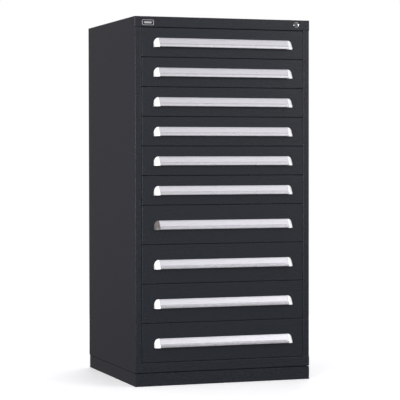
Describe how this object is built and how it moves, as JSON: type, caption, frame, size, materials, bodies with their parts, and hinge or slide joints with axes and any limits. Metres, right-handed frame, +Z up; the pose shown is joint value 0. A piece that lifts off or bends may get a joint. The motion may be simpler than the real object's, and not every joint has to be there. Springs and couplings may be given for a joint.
{
  "type": "modular drawer cabinet",
  "caption": "Tall charcoal steel modular drawer cabinet with aluminium pull handles, telescopic drawer slides, a plinth base and a top rail lock bar.",
  "frame": {"origin": "on the floor, under the middle of the overall box, handles included", "axes": "+X to the right as seen from the front, +Y towards the back, +Z up; the drawers open towards -Y"},
  "size_m": [0.762, 0.7294, 1.5],
  "materials": {
    "housing_paint": "fine textured powder coat, charcoal",
    "drawer_paint": "fine textured powder coat, charcoal",
    "zinc_steel": "bright zinc plated sheet",
    "handle_aluminium": "satin anodised extrusion",
    "handle_cap": "moulded, light grey-white",
    "handle_cap_dark": "moulded, dark grey",
    "label": "plain label insert behind a clear film",
    "lock_chrome": "polished",
    "lock_plug": "satin",
    "nameplate": "satin rim around a dark blank field"
  },
  "bodies": {
    "housing": {"side_panel_right": "housing_paint", "side_panel_left": "housing_paint", "top_panel": "housing_paint", "back_panel": "housing_paint", "bottom_pan": "housing_paint", "top_rail": "housing_paint", "bottom_rail": "housing_paint", "base": "housing_paint", "nameplate": "nameplate", "lock_housing": "lock_chrome", "runner_rack_right": "zinc_steel", "runner_rack_left": "zinc_steel", "lock_bar_guide_upper": "zinc_steel", "lock_bar_guide_lower": "zinc_steel"},
    "lock_barrel": {"lock_plug": "lock_plug", "lock_cam": "zinc_steel"},
    "lock_bar": {"lock_bar": "zinc_steel"},
    "drawer_01": {"drawer_01": "drawer_paint", "drawer_01_handle": "handle_aluminium"},
    "carriage_01": {"carriage_01_left": "zinc_steel", "carriage_01_right": "zinc_steel"},
    "drawer_02": {"drawer_02": "drawer_paint", "drawer_02_handle": "handle_aluminium"},
    "carriage_02": {"carriage_02_left": "zinc_steel", "carriage_02_right": "zinc_steel"},
    "drawer_03": {"drawer_03": "drawer_paint", "drawer_03_handle": "handle_aluminium"},
    "carriage_03": {"carriage_03_left": "zinc_steel", "carriage_03_right": "zinc_steel"},
    "drawer_04": {"drawer_04": "drawer_paint", "drawer_04_handle": "handle_aluminium"},
    "carriage_04": {"carriage_04_left": "zinc_steel", "carriage_04_right": "zinc_steel"},
    "drawer_05": {"drawer_05": "drawer_paint", "drawer_05_handle": "handle_aluminium"},
    "carriage_05": {"carriage_05_left": "zinc_steel", "carriage_05_right": "zinc_steel"},
    "drawer_06": {"drawer_06": "drawer_paint", "drawer_06_handle": "handle_aluminium"},
    "carriage_06": {"carriage_06_left": "zinc_steel", "carriage_06_right": "zinc_steel"},
    "drawer_07": {"drawer_07": "drawer_paint", "drawer_07_handle": "handle_aluminium"},
    "carriage_07": {"carriage_07_left": "zinc_steel", "carriage_07_right": "zinc_steel"},
    "drawer_08": {"drawer_08": "drawer_paint", "drawer_08_handle": "handle_aluminium"},
    "carriage_08": {"carriage_08_left": "zinc_steel", "carriage_08_right": "zinc_steel"},
    "drawer_09": {"drawer_09": "drawer_paint", "drawer_09_handle": "handle_aluminium"},
    "carriage_09": {"carriage_09_left": "zinc_steel", "carriage_09_right": "zinc_steel"},
    "drawer_10": {"drawer_10": "drawer_paint", "drawer_10_handle": "handle_aluminium"},
    "carriage_10": {"carriage_10_left": "zinc_steel", "carriage_10_right": "zinc_steel"}
  },
  "joints": [
    {"name": "lock_turn", "type": "hinge", "parent": "housing", "child": "lock_barrel", "pos_m": [0.3213, -0.34025, 1.479], "axis": [0, -1, 0], "range_deg": [0, 90]},
    {"name": "lock_bar_lift", "type": "slide", "parent": "housing", "child": "lock_bar", "axis": [0, 0, 1], "range_m": [0, 0.012]},
    {"name": "drawer_01_slide", "type": "slide", "parent": "housing", "child": "drawer_01", "axis": [0, -1, 0], "range_m": [0, 0.62]},
    {"name": "carriage_01_slide", "type": "slide", "parent": "housing", "child": "carriage_01", "axis": [0, -1, 0], "range_m": [0, 0.31]},
    {"name": "drawer_02_slide", "type": "slide", "parent": "housing", "child": "drawer_02", "axis": [0, -1, 0], "range_m": [0, 0.62]},
    {"name": "carriage_02_slide", "type": "slide", "parent": "housing", "child": "carriage_02", "axis": [0, -1, 0], "range_m": [0, 0.31]},
    {"name": "drawer_03_slide", "type": "slide", "parent": "housing", "child": "drawer_03", "axis": [0, -1, 0], "range_m": [0, 0.62]},
    {"name": "carriage_03_slide", "type": "slide", "parent": "housing", "child": "carriage_03", "axis": [0, -1, 0], "range_m": [0, 0.31]},
    {"name": "drawer_04_slide", "type": "slide", "parent": "housing", "child": "drawer_04", "axis": [0, -1, 0], "range_m": [0, 0.62]},
    {"name": "carriage_04_slide", "type": "slide", "parent": "housing", "child": "carriage_04", "axis": [0, -1, 0], "range_m": [0, 0.31]},
    {"name": "drawer_05_slide", "type": "slide", "parent": "housing", "child": "drawer_05", "axis": [0, -1, 0], "range_m": [0, 0.62]},
    {"name": "carriage_05_slide", "type": "slide", "parent": "housing", "child": "carriage_05", "axis": [0, -1, 0], "range_m": [0, 0.31]},
    {"name": "drawer_06_slide", "type": "slide", "parent": "housing", "child": "drawer_06", "axis": [0, -1, 0], "range_m": [0, 0.62]},
    {"name": "carriage_06_slide", "type": "slide", "parent": "housing", "child": "carriage_06", "axis": [0, -1, 0], "range_m": [0, 0.31]},
    {"name": "drawer_07_slide", "type": "slide", "parent": "housing", "child": "drawer_07", "axis": [0, -1, 0], "range_m": [0, 0.62]},
    {"name": "carriage_07_slide", "type": "slide", "parent": "housing", "child": "carriage_07", "axis": [0, -1, 0], "range_m": [0, 0.31]},
    {"name": "drawer_08_slide", "type": "slide", "parent": "housing", "child": "drawer_08", "axis": [0, -1, 0], "range_m": [0, 0.62]},
    {"name": "carriage_08_slide", "type": "slide", "parent": "housing", "child": "carriage_08", "axis": [0, -1, 0], "range_m": [0, 0.31]},
    {"name": "drawer_09_slide", "type": "slide", "parent": "housing", "child": "drawer_09", "axis": [0, -1, 0], "range_m": [0, 0.62]},
    {"name": "carriage_09_slide", "type": "slide", "parent": "housing", "child": "carriage_09", "axis": [0, -1, 0], "range_m": [0, 0.31]},
    {"name": "drawer_10_slide", "type": "slide", "parent": "housing", "child": "drawer_10", "axis": [0, -1, 0], "range_m": [0, 0.62]},
    {"name": "carriage_10_slide", "type": "slide", "parent": "housing", "child": "carriage_10", "axis": [0, -1, 0], "range_m": [0, 0.31]}
  ],
  "couplings": [
    {"joint": "lock_turn", "follows": "lock_bar_lift", "rad_per_m": 130.9},
    {"joint": "carriage_01_slide", "follows": "drawer_01_slide", "ratio": 0.5},
    {"joint": "carriage_02_slide", "follows": "drawer_02_slide", "ratio": 0.5},
    {"joint": "carriage_03_slide", "follows": "drawer_03_slide", "ratio": 0.5},
    {"joint": "carriage_04_slide", "follows": "drawer_04_slide", "ratio": 0.5},
    {"joint": "carriage_05_slide", "follows": "drawer_05_slide", "ratio": 0.5},
    {"joint": "carriage_06_slide", "follows": "drawer_06_slide", "ratio": 0.5},
    {"joint": "carriage_07_slide", "follows": "drawer_07_slide", "ratio": 0.5},
    {"joint": "carriage_08_slide", "follows": "drawer_08_slide", "ratio": 0.5},
    {"joint": "carriage_09_slide", "follows": "drawer_09_slide", "ratio": 0.5},
    {"joint": "carriage_10_slide", "follows": "drawer_10_slide", "ratio": 0.5}
  ]
}
